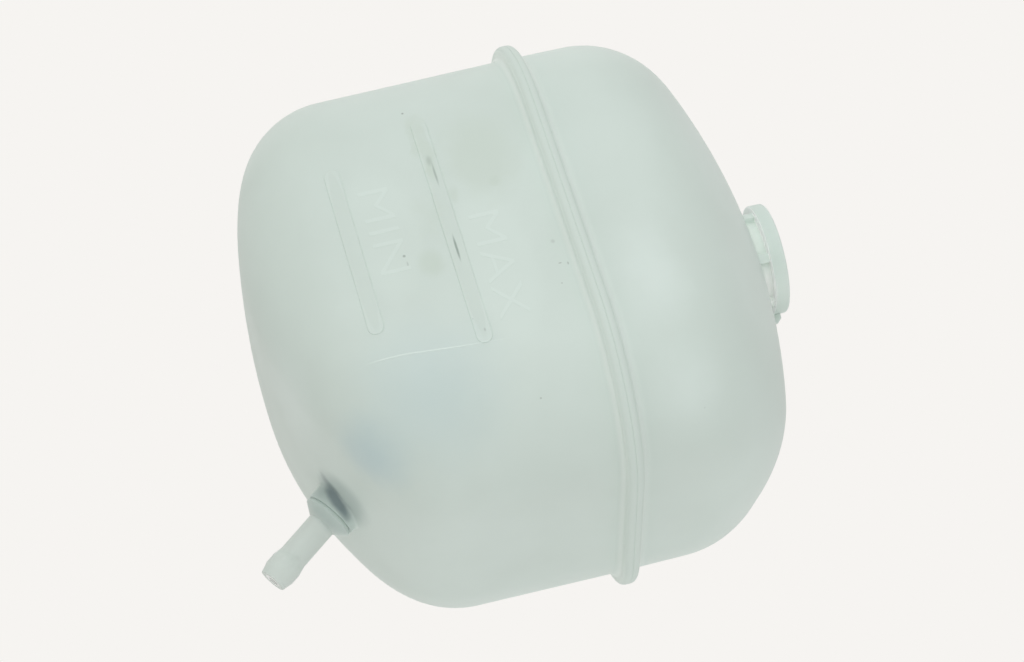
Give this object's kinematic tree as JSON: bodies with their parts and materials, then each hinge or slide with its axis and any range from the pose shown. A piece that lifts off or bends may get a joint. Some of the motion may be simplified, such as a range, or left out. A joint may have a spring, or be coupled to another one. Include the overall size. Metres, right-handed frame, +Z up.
{
  "type": "coolant expansion tank",
  "caption": "Domed translucent plastic tank of welded half shells, with an open filler neck on top and a slanting hose stub below; holds spare coolant in an engine bay.",
  "frame": {"origin": "centre of the weld plane between the two shells, on the middle of the weld bead's outline", "axes": "+Z up to the filler neck, -Y towards the flat front with the level marks, +X towards the side with the hose stub"},
  "size_m": [0.1952, 0.1602, 0.2214],
  "materials": {
    "shell": "moulded translucent polypropylene, half matt"
  },
  "bodies": {
    "root": {"lower_shell": "shell", "upper_shell": "shell"}
  },
  "joints": []
}
